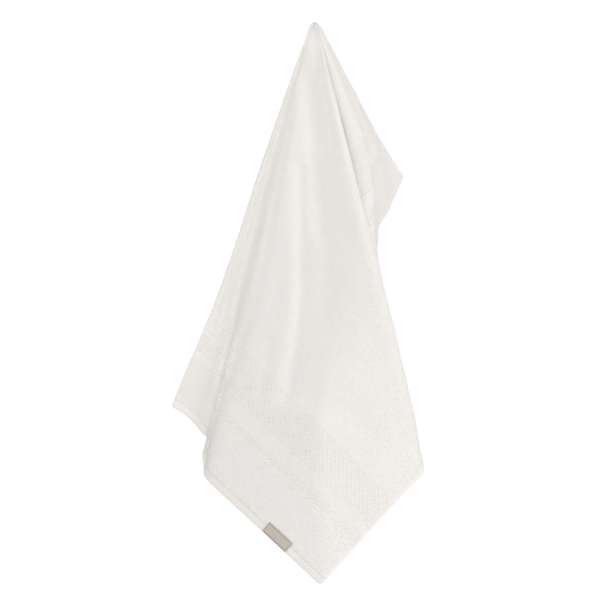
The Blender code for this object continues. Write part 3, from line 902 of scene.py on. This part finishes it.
def sheet_material():
    material, tree, shader = cotton_material("terry cloth")
    shader.inputs["Subsurface Weight"].default_value = 0.7
    shader.inputs["Subsurface Radius"].default_value = (1.0, 1.0, 1.0)
    shader.inputs["Subsurface Scale"].default_value = LIGHT_DEPTH
    flat = add_node(tree, "ShaderNodeUVMap", uv_map="flat").outputs[0]
    parts = add_node(tree, "ShaderNodeSeparateXYZ", {"Vector": flat}).outputs
    other_end = maths(tree, "SUBTRACT", CLOTH_LENGTH, parts["Y"])
    end = maths(tree, "MINIMUM", parts["Y"], other_end)
    hem = inside(tree, end, -0.01, HEM)
    narrow = inside(tree, end, *NARROW_BORDER)
    wide = inside(tree, end, *WIDE_BORDER)
    woven = maths(tree, "MAXIMUM", hem, maths(tree, "MAXIMUM", narrow, wide))
    loops = use_group(tree, LOOPS, flat, TERRY_LOOP)
    weave = use_group(tree, WEAVE, flat, SHEET_THREAD)
    fine = maths(tree, "MULTIPLY", weave["Height"], WEAVE_RELIEF)
    height = add_node(tree, "ShaderNodeMix", {0: woven, 2: loops["Height"], 3: fine}, data_type="FLOAT")
    # painted shade: the woven ground is drawn darker than terry, and darker still in the middle of the narrow
    # border
    gaps = inside(tree, end, NARROW_BORDER[0] + GAPS_MARGIN, NARROW_BORDER[1] - GAPS_MARGIN, GAPS_MARGIN)
    ground = maths(tree, "MULTIPLY_ADD", gaps, GAPS_PAINTED_SHADE, WOVEN_PAINTED_SHADE)
    darker = maths(tree, "MULTIPLY", weave["Shade"], ground)
    shade = add_node(tree, "ShaderNodeMix", {0: woven, 2: loops["Shade"], 3: darker}, data_type="FLOAT")
    cotton = mottled(tree, flat, *SHEET_MOTTLE, COTTON, COTTON_DARK)
    # painted shadow lines along the hem stitching and the lower edge of each border
    lines = inside(tree, end, *HEM_SHADOW_LINE, LINE_SOFTNESS)
    for low, _ in (NARROW_BORDER, WIDE_BORDER):
        line = inside(tree, end, low + BORDER_SHADOW_LINE[0], low + BORDER_SHADOW_LINE[1], LINE_SOFTNESS)
        lines = maths(tree, "MAXIMUM", lines, line)
    shadow_lined = blended(tree, maths(tree, "MULTIPLY", lines, SHADOW_LINE_STRENGTH), cotton, SHADOW_LINE)
    shade_base(tree, shader, shadow_lined, shade.outputs[0])
    bumped(tree, shader, height.outputs[0], *SHEET_BUMP)
    return material


TERRY = sheet_material()
towel.data.materials.append(TERRY)
print("finish of the sheet:", len(TERRY.node_tree.nodes), "nodes")


# %% Finishes of the pile, the raised threads and the gathered top
PILE_GROUND = 0.0009  # width of the bumps on the loops themselves
PILE_MOTTLE = (60.0, 0.25)
PILE_BUMP = (0.20, 0.0003)
RAISED_WEAVE = 0.0003
RAISED_BUMP = (0.12, 0.0002)


def pile_material(name, colour, deep):
    """Loops and knob: soft cotton, a little darker in patches, read from the place in space."""
    material, tree, shader = cotton_material(name, sheen=0.35)
    place = add_node(tree, "ShaderNodeTexCoord").outputs["Object"]
    tree.links.new(mottled(tree, place, *PILE_MOTTLE, colour, deep), shader.inputs["Base Color"])
    loops = use_group(tree, LOOPS, place, PILE_GROUND)
    bumped(tree, shader, loops["Height"], *PILE_BUMP)
    return material


def thread_material(name, colour, roughness):
    """Raised threads: smoother and a touch brighter than pile."""
    material, tree, shader = cotton_material(name, roughness, sheen=0.15)
    place = add_node(tree, "ShaderNodeTexCoord").outputs["Object"]
    weave = use_group(tree, WEAVE, place, RAISED_WEAVE)
    shade_base(tree, shader, colour[:3], weave["Shade"])
    bumped(tree, shader, weave["Height"], *RAISED_BUMP)
    return material


PILE = pile_material("cotton pile", COTTON, COTTON_DARK)
THREAD = thread_material("raised cotton thread", RAISED_THREAD, 0.80)
knob.data.materials.append(PILE)
print("finishes:", TERRY.name + ",", PILE.name, "and", THREAD.name)

# %% [markdown]
# ## The pile
# Terry loops stand in rows, and every one leans a little differently. Each loop is a small leaning mound
# on a grid of the flat cloth, 3 mm from the next and moved by a small random step, so the rows stay but
# don't look ruled. Borders, hems and the long edges have none. Real terry has far more loops than this, so
# the bumpy ground between them carries the rest.

# %% Pile
LOOP_SPACING = 0.0030
LOOP_STEP = 0.0011
LOOP_SUNK = 0.0001  # how deep a loop stands in the ground
LOOP_SIZES = (0.75, 1.2)
LOOP_TWIST = 0.7
PILE_MARGIN = 0.002  # bare at the far edges
HEM_MARGIN = 0.001
BORDER_MARGINS = (0.0018, 0.0006)  # bare below and above each border
PILE_START = 0.035  # reach from the hanging point
PILE_PARTS = 2  # pieces for each side, to keep each under 200,000 triangles


def pile_places(seed):
    rng = np.random.default_rng(seed)
    across, along = np.meshgrid(
        np.arange(LOOP_SPACING, CLOTH_WIDTH - PILE_MARGIN, LOOP_SPACING),
        np.arange(LOOP_SPACING, CLOTH_LENGTH - PILE_MARGIN, LOOP_SPACING),
        indexing="ij",
    )
    across = across.ravel() + rng.uniform(-LOOP_STEP, LOOP_STEP, across.size)
    along = along.ravel() + rng.uniform(-LOOP_STEP, LOOP_STEP, along.size)
    end = from_end(along)
    bare = end < HEM + HEM_MARGIN
    for low, high in (NARROW_BORDER, WIDE_BORDER):
        bare |= (end > low - BORDER_MARGINS[0]) & (end < high + BORDER_MARGINS[1])
    bare |= np.hypot(across, HANG_HEIGHT - along) < PILE_START
    return across[~bare], along[~bare]


def make_pile():
    made = []
    for side, name in ((1.0, "labelled"), (-1.0, "plain")):
        across, along = pile_places(11 if side > 0.0 else 12)
        parts = np.array_split(np.argsort(along), PILE_PARTS)
        for number, part in enumerate(parts, 1):
            x, y = across[part], along[part]
            points, _, run, out = surface(x, y, side * (half_thickness(x, y) - LOOP_SUNK))
            where = points, out * side, -run
            title = "pile_%s_%d" % (name, number)
            made.append(place_copies(title, loop_shape, *where, PILE, LOOP_SIZES, LOOP_TWIST, 20 + number))
    return made


pile = make_pile()

# %% [markdown]
# ## The wide border
# The weaver raised rows of short floats on a flat ground. Every other row is set off by half a step, and
# the dots grow and shrink in a slow diamond rhythm. An image could carry the pattern, but then it would lie
# flat, so the border is charted by its row pitch, its dot pitch and that rhythm, which is all that a weaver
# would need too.

# %% Wide border
DOT_PITCH = 0.0075
DOT_ROWS = 12
ROWS_MARGIN = 0.0022
DOTS_START, DOTS_END = 0.006, 0.005  # bare at each long edge
DIAMOND_WIDTH = 0.034
DIAMOND_HEIGHT = 0.0235
DIAMOND_LINE = 0.28  # how wide the lines of small dots are
LARGE_DOTS, SMALL_DOTS = (0.95, 1.10), (0.62, 0.75)
DOT_TWIST = 0.12
ENDS = ("labelled_end", "other_end")
FACES = ((1.0, "front"), (-1.0, "back"))


def on_both_ends(across, depth, lift=0.0):
    """For each face of each end: its name, the points, the runs across and along, and the way out."""
    for end in ENDS:
        along = depth if end == ENDS[0] else CLOTH_LENGTH - depth
        for side, face in FACES:
            points, run, rise, out = surface(across, along, side * (half_thickness(across, along) + lift))
            yield "%s_%s" % (end, face), points, run, rise, out * side


def zigzag(share):
    """1 at whole numbers and 0 halfway between them, straight in between."""
    return abs(share % 1.0 - 0.5) * 2.0


def dot_places():
    """Across the cloth, in from its end, and whether small, for each dot of one border."""
    low, high = WIDE_BORDER
    dots = []
    for row, depth in enumerate(np.linspace(low + ROWS_MARGIN, high - ROWS_MARGIN, DOT_ROWS)):
        start = DOTS_START + (DOT_PITCH / 2.0 if row % 2 else 0.0)
        for x in np.arange(start, CLOTH_WIDTH - DOTS_END, DOT_PITCH):
            small = abs(zigzag(x / DIAMOND_WIDTH) - zigzag((depth - low) / DIAMOND_HEIGHT)) < DIAMOND_LINE
            dots.append((x, depth, small))
    across, depth, small = np.array(dots).T
    return across, depth, small > 0.5


def make_dots():
    made = []
    across, depth, small = dot_places()
    for face, points, run, _, out in on_both_ends(across, depth):
        for pick, sizes, word in ((~small, LARGE_DOTS, "large"), (small, SMALL_DOTS, "small")):
            name = "dots_%s_%s" % (face, word)
            where = points[pick], out[pick], run[pick]
            made.append(place_copies(name, dot_shape, *where, THREAD, sizes, DOT_TWIST, 31))
    return made


dots = make_dots()

# %% [markdown]
# ## The narrow border
# Small sprays of three leaf shapes stand a good centimetre apart on the plain ground, over a fine line
# of painted shadow. Turning each leaf is a matter of mixing the across and along directions before the
# copies are placed, so the same tree that stands the dots serves the leaves too.

# %% Narrow border
SPRAY_PITCH = 0.0127
SPRAYS_MARGIN = 0.008  # bare at each long edge
SPRAY = (  # one leaf a row: across and along from the middle of its spray, and its slant
    (-0.0030, -0.0022, math.radians(40.0)),
    (0.0004, 0.0004, math.radians(-35.0)),
    (0.0030, 0.0030, math.radians(40.0)),
)
THREAD_SIZES = (0.9, 1.05)


def leaf_places():
    """Across the cloth, in from its end, and the slant, for each leaf of one border."""
    middle = sum(NARROW_BORDER) / 2.0
    sprays = np.arange(SPRAYS_MARGIN, CLOTH_WIDTH - SPRAYS_MARGIN, SPRAY_PITCH)
    return np.array([(x + aside, middle + up, turn) for x in sprays for aside, up, turn in SPRAY]).T


def make_leaves():
    made = []
    across, depth, slant = leaf_places()
    for face, points, run, rise, out in on_both_ends(across, depth):
        way = run * np.cos(slant)[:, None] + rise * np.sin(slant)[:, None]
        where = points, out, way
        made.append(place_copies("leaves_" + face, leaf_shape, *where, THREAD, THREAD_SIZES, seed=41))
    return made


leaves = make_leaves()

# %% [markdown]
# ## Stitches of the hem
# The hem is turned over and held by one line of machine stitches, about three to the centimetre. They sit
# in the small valley that they pull into the cloth. A dashed line in the finish would do from afar, but not
# in relief.

# %% Hem stitches
STITCH_PITCH = 0.0031
STITCHES_START, STITCHES_END = 0.004, 0.003  # bare at each long edge
STITCH_LINE = HEM - 0.0002
STITCH_LIFT = 0.0001
STITCH_TWIST = 0.08


def make_stitches():
    made = []
    across = np.arange(STITCHES_START, CLOTH_WIDTH - STITCHES_END, STITCH_PITCH)
    depth = np.full_like(across, STITCH_LINE)
    for face, points, run, _, out in on_both_ends(across, depth, STITCH_LIFT):
        name, where = "stitches_" + face, (points, out, run)
        made.append(place_copies(name, stitch_shape, *where, THREAD, THREAD_SIZES, STITCH_TWIST, 51))
    return made


stitches = make_stitches()

# %% [markdown]
# ## The label
# A strip of smooth woven tape lies flat over the hem, sewn down at both short ends. It is made on the same
# flat places as the sheet, so it follows the cloth under it. Its own UV map is in metres from its middle,
# for the weave and for the darker line near its rim.

# %% Label
LABEL_LENGTH, LABEL_DEPTH, LABEL_THICKNESS = 0.042, 0.015, 0.0006
LABEL_ACROSS, LABEL_EDGE = 0.416, 0.0003
LABEL_SEAT = 0.0021  # its inner side, from the middle of the cloth
LABEL_RISE = 0.0003
LABEL_RIM = 0.499  # the rim starts here, as a share of the label's size from its middle
LABEL_RIM_LOSS = 0.6  # share of its thickness that the rim loses
LABEL_CELLS = (42, 15)
LABEL_LINE = (0.0010, 0.0019)  # the darker line, in from the rim
LABEL_THREAD = 0.0004
LABEL_BUMP = (0.4, 0.0002)


def label_lift(u, v):
    """The label lies close at its sewn ends and stands up a little in its middle."""
    return LABEL_SEAT + LABEL_RISE * np.cos(math.pi * u) * np.cos(math.pi * v)


def make_label():
    u, v = np.meshgrid(
        np.linspace(-0.5, 0.5, LABEL_CELLS[0] + 1), np.linspace(-0.5, 0.5, LABEL_CELLS[1] + 1), indexing="ij"
    )
    across = LABEL_ACROSS + LABEL_LENGTH * u
    along = LABEL_EDGE + LABEL_DEPTH * (v + 0.5)
    rim = 1.0 - LABEL_RIM_LOSS * (np.maximum(np.abs(u), np.abs(v)) > LABEL_RIM)
    lift = label_lift(u, v)
    outer = surface(across, along, lift + LABEL_THICKNESS * rim)[0].reshape(-1, 3)
    inner = surface(across, along, lift)[0].reshape(-1, 3)
    label = mesh_object("label_tape", np.concatenate([outer, inner]), closed_faces(*u.shape))
    flat = np.stack([(u * LABEL_LENGTH).ravel(), (v * LABEL_DEPTH).ravel()], axis=1)
    add_flat_map(label, np.concatenate([flat, flat]))
    return label


def label_material():
    material, tree, shader = cotton_material("woven label tape", 0.55, sheen=0.10)
    flat = add_node(tree, "ShaderNodeUVMap", uv_map="flat").outputs[0]
    parts = add_node(tree, "ShaderNodeSeparateXYZ", {"Vector": flat}).outputs
    to_end = maths(tree, "SUBTRACT", LABEL_LENGTH / 2.0, maths(tree, "ABSOLUTE", parts["X"]))
    to_side = maths(tree, "SUBTRACT", LABEL_DEPTH / 2.0, maths(tree, "ABSOLUTE", parts["Y"]))
    rim = maths(tree, "MINIMUM", to_end, to_side)
    line = inside(tree, rim, *LABEL_LINE, 0.0002)
    weave = use_group(tree, WEAVE, flat, LABEL_THREAD)
    colours = blended(tree, line, LABEL_GROUND, LABEL_BORDER)
    shade_base(tree, shader, colours, weave["Shade"])
    bumped(tree, shader, weave["Height"], *LABEL_BUMP)
    return material


label = make_label()
label.data.materials.append(label_material())
print("label:", len(label.data.polygons) * 2, "triangles")


# %% Stitches of the label
LABEL_SEAM = 0.0022  # in from each short end
LABEL_SEAM_MARGINS = (0.0015, 0.0010)  # bare at each long side
LABEL_STITCH_PITCH = 0.0020
LABEL_STITCH_SIZES = (0.55, 0.65)
LABEL_STITCH_TWIST = 0.05


def make_label_stitches():
    """A short row of stitches down each end of the label."""
    start, end = LABEL_SEAM_MARGINS
    depth = np.arange(LABEL_EDGE + start, LABEL_EDGE + LABEL_DEPTH - end, LABEL_STITCH_PITCH)
    aside = LABEL_LENGTH / 2.0 - LABEL_SEAM
    across = np.concatenate([np.full_like(depth, LABEL_ACROSS + sign * aside) for sign in (-1, 1)])
    along = np.concatenate([depth, depth])
    u, v = (across - LABEL_ACROSS) / LABEL_LENGTH, (along - LABEL_EDGE) / LABEL_DEPTH - 0.5
    points, _, rise, out = surface(across, along, label_lift(u, v) + LABEL_THICKNESS)
    where = points, out, rise
    sizes = LABEL_STITCH_SIZES
    return place_copies("stitches_label", stitch_shape, *where, THREAD, sizes, LABEL_STITCH_TWIST, 61)


label_stitches = make_label_stitches()

# %% [markdown]
# ## Light, floor and background
# The photograph is bright and soft: the light comes from nearly straight in front, and its right side is a
# little brighter. A white surround gives the soft part, a large lamp in front gives most of the rest, and a
# smaller one at the right models the folds. White cloth also lights its own folds, so the light may bounce
# many times. The floor lies under the towel and fades out into the white, so that it has no edge from any
# side.

# %% Light and floor
AMBIENT = 0.62
WARM = (1.0, 0.972, 0.950)
BOUNCES = 16  # white cloth passes light on into its own folds many times
FLOOR_HEIGHT = -0.80
FLOOR_RADIUS = 1.5
FLOOR_FADE = (0.35, 1.4)  # full inside the first radius, gone at the second
AIM = Vector((0.0, 0.0, -0.35))
LAMPS = (  # name, place, width and power
    ("front lamp", (0.4, -3.2, 0.4), 2.2, 30.0),
    ("right lamp", (2.6, -0.8, 0.5), 1.4, 12.0),
)


def make_surround():
    world = bpy.data.worlds.new("white surround")
    world.use_nodes = True
    tree = world.node_tree
    tree.nodes.clear()
    path = add_node(tree, "ShaderNodeLightPath").outputs["Is Camera Ray"]
    strength = add_node(tree, "ShaderNodeMix", {0: path, 2: AMBIENT, 3: 1.0}, data_type="FLOAT")
    colour = blended(tree, path, WARM + (1.0,), (1.0, 1.0, 1.0, 1.0))
    light = add_node(tree, "ShaderNodeBackground", {"Color": colour, "Strength": strength.outputs[0]})
    result = add_node(tree, "ShaderNodeOutputWorld", {"Surface": light.outputs[0]})
    bpy.context.scene.world = world
    return result


def make_lamp(name, place, size, power):
    data = bpy.data.lights.new(name, "AREA")
    data.shape = "DISK"
    data.size = size
    data.energy = power
    data.color = WARM
    lamp = link(bpy.data.objects.new(name, data))
    lamp.location = place
    lamp.rotation_euler = (AIM - Vector(place)).to_track_quat("-Z", "Y").to_euler()
    return lamp


def make_floor():
    body = bmesh.new()
    bmesh.ops.create_circle(body, cap_ends=True, segments=96, radius=FLOOR_RADIUS)
    mesh = bpy.data.meshes.new("floor")
    body.to_mesh(mesh)
    body.free()
    floor = link(bpy.data.objects.new("floor", mesh))
    floor.location.z = FLOOR_HEIGHT
    material = bpy.data.materials.new("pale floor")
    material.use_nodes = True
    tree = material.node_tree
    place = add_node(tree, "ShaderNodeTexCoord").outputs["Object"]
    away = add_node(tree, "ShaderNodeVectorMath", {0: place}, operation="LENGTH").outputs["Value"]
    limits = {0: away, 1: FLOOR_FADE[0], 2: FLOOR_FADE[1], 3: 1.0, 4: 0.0}
    fade = add_node(tree, "ShaderNodeMapRange", limits, interpolation_type="SMOOTHSTEP")
    shader = tree.nodes["Principled BSDF"]
    shader.inputs["Base Color"].default_value = (0.9, 0.9, 0.9, 1.0)
    shader.inputs["Roughness"].default_value = 0.9
    tree.links.new(fade.outputs[0], shader.inputs["Alpha"])
    mesh.materials.append(material)
    return floor


make_surround()
for lamp in LAMPS:
    make_lamp(*lamp)
make_floor()
bpy.context.scene.view_settings.view_transform = "Standard"
bpy.context.scene.cycles.diffuse_bounces = BOUNCES
bpy.context.scene.cycles.max_bounces = BOUNCES + 4
print("lamps:", len(bpy.data.lights))

# %% [markdown]
# ## Onto the body
# Every piece rides on the one body, and the plain towel and label of the model are hidden, since the
# pieces here take their place.

# %% Onto the body
small_pieces = pile + dots + leaves + stitches
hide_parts("towel")
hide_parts("label")
for piece in [towel, knob] + small_pieces:
    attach(piece, "root")
for piece in [label, label_stitches]:
    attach(piece, "root")
